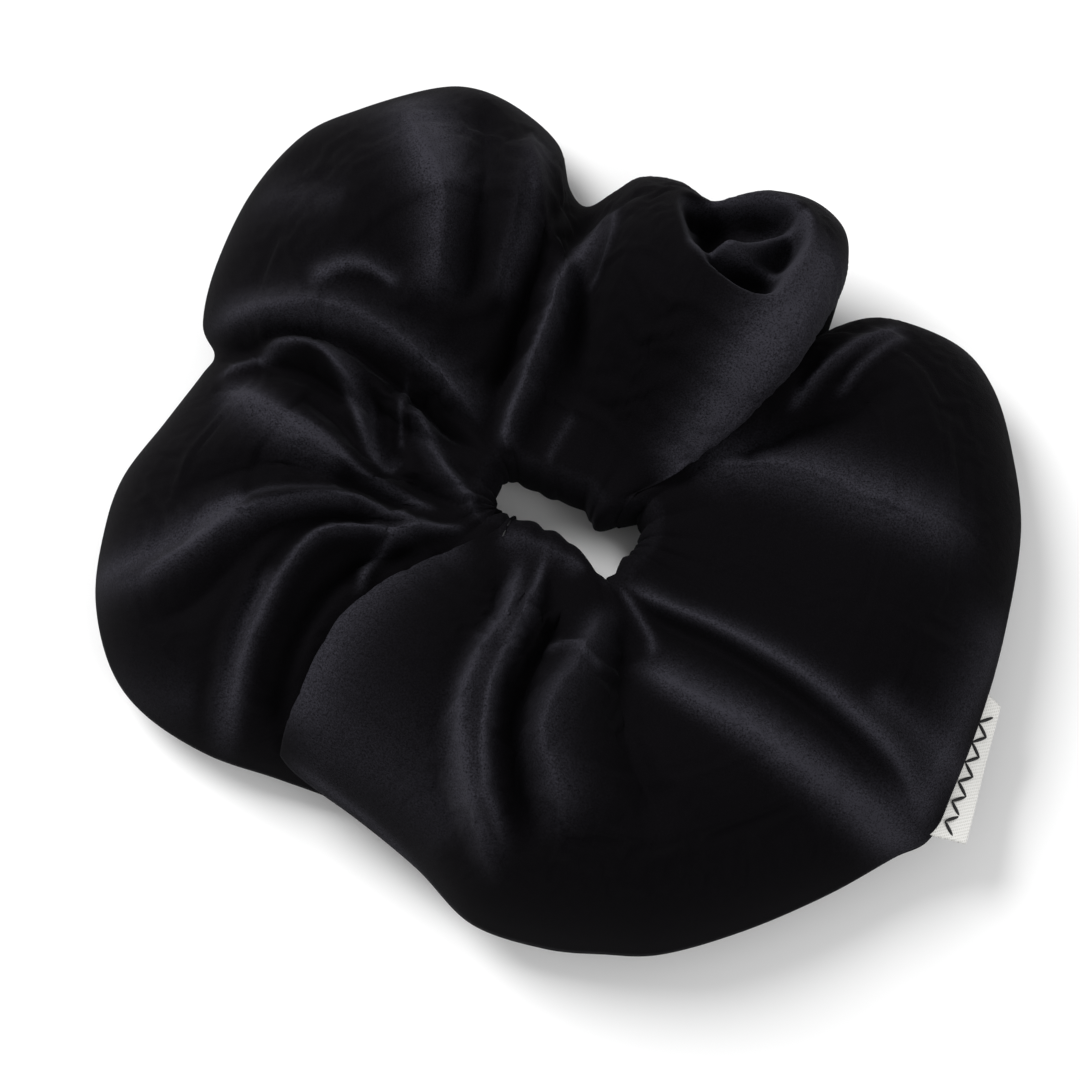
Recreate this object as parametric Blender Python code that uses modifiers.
"""Oversized velvet scrunchie, lying flat.

A strip of velvet is folded lengthwise and sewn into a tube with its long seam on the outer rim. The tube is
closed into a ring over a short loop of flat elastic, which gathers it into deep lobes round a small hole. A
folded woven label is caught in the rim seam. The cover is made in two halves, near and far, because the loop
opens between them when it is stretched.

Units are metres, +Z is up, and the scrunchie rests on Z = 0 with the middle of its box over the origin.
"""

import math

import bmesh
import bpy
from mathutils import Matrix, Vector

# Driving dimensions.

COVER_REACH = 0.086  # of the rim seam from the middle of the hole, at the longest lobe
COVER_HEIGHT = 0.045  # of the puffed cloth, at the tallest lobe
UNDERSIDE_LIFT = 0.003  # of the underside off the table, where two lobes meet
# The gathered cover, going round the hole from +X towards +Y. Each row is an angle in degrees, then the
# reach, the height and the lift there as shares of the three sizes above.
COVER_STATIONS = (
    (0, 0.91, 0.80, 0),  # right lobe
    (22, 0.90, 0.76, 0),
    (36, 0.70, 0.71, 1),  # valley
    (46, 0.81, 0.96, 0),  # rolled-over lobe
    (58, 0.84, 1.00, 0),
    (66, 0.74, 0.84, 0),
    (76, 0.76, 0.80, 0),
    (88, 0.70, 0.67, 1),  # valley
    (98, 0.90, 0.76, 0),  # far-left lobe
    (110, 0.99, 0.84, 0),
    (124, 1.00, 0.84, 0),
    (142, 0.91, 0.76, 0),
    (156, 0.81, 0.67, 1),  # valley
    (167, 0.85, 0.73, 0),  # left lobe
    (180, 0.94, 0.80, 0),
    (195, 0.96, 0.80, 0),
    (210, 0.88, 0.76, 0),
    (236, 0.71, 0.67, 1),  # valley
    (256, 0.81, 0.84, 0),  # near lobe
    (274, 0.87, 0.91, 0),
    (300, 0.88, 0.80, 0),
    (318, 0.95, 0.71, 0),  # corner that carries the label
    (334, 0.91, 0.76, 0),
)
RIM_HEIGHT = 0.014  # of the seam above the resting plane
UNDERSIDE_OVERHANG = 0.006  # how far the round underside would sink if the table didn't flatten it
SECTION_SQUARENESS = 0.8  # power of the tube's section: 1 is an ellipse, less is fuller
SEAM_GROOVE_DEPTH = 0.0016
SEAM_GROOVE_WIDTH = 0.0024

HOLE_LENGTH = 0.024
HOLE_WIDTH = 0.018
HOLE_TURN = math.radians(-20)  # of the hole's long way from +X

ELASTIC_WIDTH = 0.008
ELASTIC_THICKNESS = 0.0012
ELASTIC_INSET = 0.007  # cloth gathered between the hole and the middle of the elastic
ELASTIC_LAP = 0.012  # length over which its two ends overlap
CASING_ROOM = 0.0015  # round the elastic, in the tube that it runs through

THREAD_DIAMETER = 0.0004
LAP_STITCH_PITCH = 0.0024
LAP_STITCH_MARGIN = 0.001  # from the stitching to the elastic's edge

LABEL_LENGTH = 0.025  # along the rim
LABEL_FLAP = 0.009  # out from the rim
LABEL_TAPE = 0.0003  # thickness of one layer of the folded tape
LABEL_STANDOFF = 0.0008  # from the rim to the line that the label bends about
LABEL_DROOP = math.radians(15)

CLEARANCE = 0.0003  # between pieces that touch on the real object

# Places round the ring, in degrees.
STATION_STEP = 4
NEAR_START, NEAR_END = 180, 360
FAR_START, FAR_END = 0, 180
CLOSING_END = 208  # the turning gap in the rim seam runs from the left of the near half to here
END_SEAM_ANGLE = 236  # where the two ends of the tube are joined
LABEL_ANGLE = 331
LAP_ANGLE = 250  # where the elastic's ends lap

SECTION_POINTS = 28
TABLE_POINTS = 720  # steps for measuring the outline
LAP_RISE = 40  # degrees over which the elastic's outer end climbs onto the inner one
RIBBON_STEP = 5  # degrees between points of the elastic
WAVE_POINTS = 10  # points in one stitch of the lap
FOLD_STEPS = 4


# The outline of the gathered cover.


def station(angle):
    """Reach, height and lift at an angle, on a smooth closed curve through the rows of COVER_STATIONS."""
    angle %= 360
    count = len(COVER_STATIONS)
    here = max(i for i in range(count) if COVER_STATIONS[i][0] <= angle)

    def row(i):
        turns, index = divmod(i, count)
        return COVER_STATIONS[index][0] + 360 * turns, *COVER_STATIONS[index][1:]

    before, start, end, after = (row(here + i) for i in (-1, 0, 1, 2))
    span = end[0] - start[0]
    t = (angle - start[0]) / span
    values = []
    for k in (1, 2, 3):
        start_slope = (end[k] - before[k]) / (end[0] - before[0]) * span
        end_slope = (after[k] - start[k]) / (after[0] - start[0]) * span
        values.append(
            (2 * t**3 - 3 * t**2 + 1) * start[k]
            + (t**3 - 2 * t**2 + t) * start_slope
            + (3 * t**2 - 2 * t**3) * end[k]
            + (t**3 - t**2) * end_slope
        )
    return COVER_REACH * values[0], COVER_HEIGHT * values[1], UNDERSIDE_LIFT * max(0.0, values[2])


def hole_radius(angle):
    """From the middle of the oval hole to its edge."""
    turned = math.radians(angle) - HOLE_TURN
    return 1 / math.hypot(math.cos(turned) / (HOLE_LENGTH / 2), math.sin(turned) / (HOLE_WIDTH / 2))


def around(angle, radius, height):
    turn = math.radians(angle)
    return Vector((radius * math.cos(turn), radius * math.sin(turn), height))


def rim_point(angle):
    return around(angle, station(angle)[0], RIM_HEIGHT)


# Where the label's seam line runs: a straight line just outside the rim.
half_turn = math.degrees(LABEL_LENGTH / 2 / station(LABEL_ANGLE)[0])
label_start, label_end = rim_point(LABEL_ANGLE - half_turn), rim_point(LABEL_ANGLE + half_turn)
label_along = (label_end - label_start).normalized()
label_out = Vector((label_along.y, -label_along.x, 0))
label_samples = [rim_point(LABEL_ANGLE + half_turn * (i / 5 - 1)) for i in range(11)]
bulge = max((point - label_start).dot(label_out) for point in label_samples)
label_hinge = (label_start + label_end) / 2 + label_out * (bulge + LABEL_STANDOFF)


def middle_of_hole():
    """Where the hole's middle stands when the middle of the whole outline is over the origin."""
    outline = [rim_point(360 * i / TABLE_POINTS) for i in range(TABLE_POINTS)]
    label_edge = label_hinge + label_out * LABEL_FLAP * math.cos(LABEL_DROOP)
    outline += [label_edge + label_along * side * LABEL_LENGTH / 2 for side in (-1, 1)]
    low = Vector((min(p.x for p in outline), min(p.y for p in outline), 0))
    high = Vector((max(p.x for p in outline), max(p.y for p in outline), 0))
    return -(low + high) / 2


def softened(value):
    return math.copysign(abs(value) ** SECTION_SQUARENESS, value)


def section(angle):
    """The tube's outline at an angle, from the rim seam over the top to the hole and back underneath."""
    reach, height, lift = station(angle)
    inner = hole_radius(angle)
    middle, half = (reach + inner) / 2, (reach - inner) / 2
    points = [(reach, RIM_HEIGHT + SEAM_GROOVE_WIDTH / 2)]
    for i in range(1, SECTION_POINTS):
        turn = 2 * math.pi * i / SECTION_POINTS
        side, up = softened(math.cos(turn)), softened(math.sin(turn))
        rise = height - RIM_HEIGHT if up > 0 else RIM_HEIGHT + UNDERSIDE_OVERHANG
        points.append((middle + half * side, max(RIM_HEIGHT + rise * up, lift)))
    points.append((reach, RIM_HEIGHT - SEAM_GROOVE_WIDTH / 2))
    return points


def section_outside(angle, gap):
    """A closed line round the tube's outline, everywhere the same distance outside it."""
    points = [Vector(point) for point in section(angle)]
    line = []
    for i, point in enumerate(points):
        edges = (point - points[i - 1], points[(i + 1) % len(points)] - point)
        first, second = (Vector((edge.y, -edge.x)).normalized() for edge in edges)
        line.append(point + gap * (first + second) / (1 + first.dot(second)))
    return line


def grooved_section(angle):
    return [(station(angle)[0] - SEAM_GROOVE_DEPTH, RIM_HEIGHT)] + section(angle)


# Scene, collections and materials.

for old in list(bpy.data.objects):
    bpy.data.objects.remove(old, do_unlink=True)

scrunchie = bpy.data.collections.new("scrunchie")
cutters = bpy.data.collections.new("cutters")
bpy.context.scene.collection.children.link(scrunchie)
bpy.context.scene.collection.children.link(cutters)
cutters.hide_render = True

HOLE_MIDDLE = middle_of_hole()


def material(name, colour, roughness):
    made = bpy.data.materials.new(name)
    made.use_nodes = True
    shader = made.node_tree.nodes["Principled BSDF"]
    shader.inputs["Base Color"].default_value = (*colour, 1)
    shader.inputs["Roughness"].default_value = roughness
    shader.inputs["Metallic"].default_value = 0
    return made


def added(name, data, finish, collection=scrunchie, location=HOLE_MIDDLE):
    piece = bpy.data.objects.new(name, data)
    piece.location = location
    collection.objects.link(piece)
    data.materials.append(finish)
    return piece


def smooth(piece, sharp_angle=40):
    piece.data.shade_smooth()
    piece.data.set_sharp_from_angle(angle=math.radians(sharp_angle))


velvet = material("black velvet", (0.005, 0.0045, 0.006), 0.95)
elastic_weave = material("black elastic", (0.012, 0.012, 0.013), 0.8)
seam_thread = material("black thread", (0.008, 0.008, 0.009), 0.6)
lap_thread = material("white thread", (0.70, 0.70, 0.68), 0.6)
label_weave = material("white woven tape", (0.80, 0.80, 0.76), 0.7)


# Cover: gathered velvet, lofted through the tube's section from station to station.


def lofted(name, sections):
    """A solid through closed sections of equal length, capped at its first and last."""
    mesh = bpy.data.meshes.new(name)
    bm = bmesh.new()
    rings = [[bm.verts.new(point) for point in ring] for ring in sections]
    for ring, following in zip(rings, rings[1:]):
        for i in range(len(ring)):
            j = (i + 1) % len(ring)
            bm.faces.new((ring[i], ring[j], following[j], following[i]))
    bm.faces.new(rings[0])
    bm.faces.new(reversed(rings[-1]))
    bmesh.ops.recalc_face_normals(bm, faces=bm.faces)
    bm.to_mesh(mesh)
    bm.free()
    return mesh


def ribbon(name, points, width):
    """An upright open strip of a given width along a line of points."""
    mesh = bpy.data.meshes.new(name)
    bm = bmesh.new()
    half = Vector((0, 0, width / 2))
    pairs = [(bm.verts.new(p - half), bm.verts.new(p + half)) for p in points]
    for (low, high), (next_low, next_high) in zip(pairs, pairs[1:]):
        bm.faces.new((low, next_low, next_high, high))
    bm.to_mesh(mesh)
    bm.free()
    return mesh


def thickened(piece, thickness, offset=0.0):
    wall = piece.modifiers.new("thickness", "SOLIDIFY")
    wall.thickness = thickness
    wall.offset = offset
    wall.use_even_offset = True


# The casing that the elastic runs through, as one ring that both halves are cut with.
lapped_thickness = 2 * ELASTIC_THICKNESS + CLEARANCE
casing_low = ELASTIC_INSET - ELASTIC_THICKNESS / 2 - CASING_ROOM
casing_high = casing_low + lapped_thickness + THREAD_DIAMETER + CLEARANCE + 2 * CASING_ROOM
casing_middle = (casing_low + casing_high) / 2
casing = added(
    "casing",
    bpy.data.meshes.new("casing"),
    velvet,
    collection=cutters,
)
casing_mesh = bmesh.new()
casing_rings = []
for angle in range(0, 360, RIBBON_STEP):
    edge = hole_radius(angle)
    half = ELASTIC_WIDTH / 2 + CASING_ROOM
    corners = (
        (edge + casing_low, RIM_HEIGHT - half),
        (edge + casing_high, RIM_HEIGHT - half),
        (edge + casing_high, RIM_HEIGHT + half),
        (edge + casing_low, RIM_HEIGHT + half),
    )
    casing_rings.append([casing_mesh.verts.new(around(angle, *corner)) for corner in corners])
for i, ring in enumerate(casing_rings):
    following = casing_rings[(i + 1) % len(casing_rings)]
    for k in range(len(ring)):
        after = (k + 1) % len(ring)
        casing_mesh.faces.new((ring[k], ring[after], following[after], following[k]))
bmesh.ops.recalc_face_normals(casing_mesh, faces=casing_mesh.faces)
casing_mesh.to_mesh(casing.data)
casing_mesh.free()
casing.hide_render = True
casing.display_type = "WIRE"


def cover_half(name, start, end, shift):
    """One half of the cover, moved a little off the plane where the halves meet."""
    sections = []
    for angle in range(start, end + 1, STATION_STEP):
        sections.append([around(angle, r, z) for r, z in grooved_section(angle)])
    half = added(name, lofted(name, sections), velvet)
    half.location = HOLE_MIDDLE + Vector((0, shift, 0))
    smooth(half)
    cut = half.modifiers.new("casing", "BOOLEAN")
    cut.object = casing
    cut.operation = "DIFFERENCE"
    cut.solver = "EXACT"
    return half


cover_half("cover_near_half", NEAR_START, NEAR_END, -CLEARANCE / 2)
cover_half("cover_far_half", FAR_START, FAR_END, CLEARANCE / 2)


# Elastic: one flat strip round the hole, its outer end lapped over its inner end.

lap_turn = math.degrees(ELASTIC_LAP / (hole_radius(LAP_ANGLE) + ELASTIC_INSET))


def elastic_point(turn, outward=0.0, height=RIM_HEIGHT):
    """A point of the elastic's middle layer, a turn in degrees past its inner end."""
    climb = min(1.0, max(0.0, (turn - (360 - LAP_RISE)) / LAP_RISE))
    climb = climb * climb * (3 - 2 * climb) * (ELASTIC_THICKNESS + CLEARANCE)
    angle = LAP_ANGLE + turn
    return around(angle, hole_radius(angle) + ELASTIC_INSET + climb + outward, height)


whole_turn = 360 + lap_turn
elastic_steps = round(whole_turn / RIBBON_STEP)
elastic_line = [elastic_point(whole_turn * i / elastic_steps) for i in range(elastic_steps + 1)]
elastic = added("elastic_band", ribbon("elastic_band", elastic_line, ELASTIC_WIDTH), elastic_weave)
thickened(elastic, ELASTIC_THICKNESS)
smooth(elastic)


# Threads: each run of stitching is one fine cord.


def thread(name, points, finish, closed=False):
    path = bpy.data.curves.new(name, "CURVE")
    path.dimensions = "3D"
    path.bevel_depth = THREAD_DIAMETER / 2
    path.bevel_resolution = 2
    path.use_fill_caps = not closed
    spline = path.splines.new("POLY")
    spline.points.add(len(points) - 1)
    for target, point in zip(spline.points, points):
        target.co = (*point, 1)
    spline.use_cyclic_u = closed
    return added(name, path, finish)


def rim_thread(name, start, end, shift):
    """Seam stitching in the groove of the rim, between two angles."""
    depth = SEAM_GROOVE_DEPTH / 3
    points = []
    for angle in range(start, end + 1, STATION_STEP):
        points.append(around(angle, station(angle)[0] - depth, RIM_HEIGHT))
    run = thread(name, points, seam_thread)
    run.location = HOLE_MIDDLE + Vector((0, shift, 0))


rim_thread("rim_seam_thread_far", FAR_START + STATION_STEP, FAR_END - STATION_STEP, CLEARANCE / 2)
rim_thread("rim_seam_thread_near", CLOSING_END + STATION_STEP, NEAR_END - STATION_STEP, -CLEARANCE / 2)
rim_thread("closing_thread", NEAR_START + STATION_STEP, CLOSING_END, -CLEARANCE / 2)

end_seam_gap = CLEARANCE + THREAD_DIAMETER
end_seam_line = [around(END_SEAM_ANGLE, r, z) for r, z in section_outside(END_SEAM_ANGLE, end_seam_gap)]
end_seam = thread("end_seam_thread", end_seam_line, seam_thread, closed=True)
end_seam.location = HOLE_MIDDLE + Vector((0, -CLEARANCE / 2, 0))

lap_outset = ELASTIC_THICKNESS / 2 + CLEARANCE + THREAD_DIAMETER / 2
stitches = round(ELASTIC_LAP / LAP_STITCH_PITCH)
stitch_height = ELASTIC_WIDTH / 2 - LAP_STITCH_MARGIN
lap_line = []
for i in range(stitches * WAVE_POINTS + 1):
    share = i / (stitches * WAVE_POINTS)
    wave = math.sin(2 * math.pi * stitches * share)
    lap_line.append(
        elastic_point(360 + lap_turn * share, lap_outset, RIM_HEIGHT + stitch_height * wave)
    )
thread("elastic_lap_thread", lap_line, lap_thread)


# Label: a woven tape folded in two, its ends caught in the rim seam.

fold_radius = (LABEL_TAPE + CLEARANCE) / 2
tape = [(0.0, fold_radius)]
for i in range(FOLD_STEPS + 1):
    turn = math.pi * i / FOLD_STEPS
    out = LABEL_FLAP - fold_radius + fold_radius * math.sin(turn)
    tape.append((out, fold_radius * math.cos(turn)))
tape.append((0.0, -fold_radius))

label_mesh = bpy.data.meshes.new("woven_label")
label_build = bmesh.new()
rows = []
for out, up in tape:
    rows.append([label_build.verts.new((out, side * LABEL_LENGTH / 2, up)) for side in (-1, 1)])
for row, following in zip(rows, rows[1:]):
    label_build.faces.new((row[0], following[0], following[1], row[1]))
label_build.to_mesh(label_mesh)
label_build.free()

label = added(
    "woven_label",
    label_mesh,
    label_weave,
    location=HOLE_MIDDLE + label_hinge + Vector((0, -CLEARANCE / 2, 0)),
)
label_frame = Matrix((label_out, label_along, (0, 0, 1))).transposed()
label.rotation_euler = (label_frame @ Matrix.Rotation(LABEL_DROOP, 3, "Y")).to_euler()
thickened(label, LABEL_TAPE)
smooth(label)
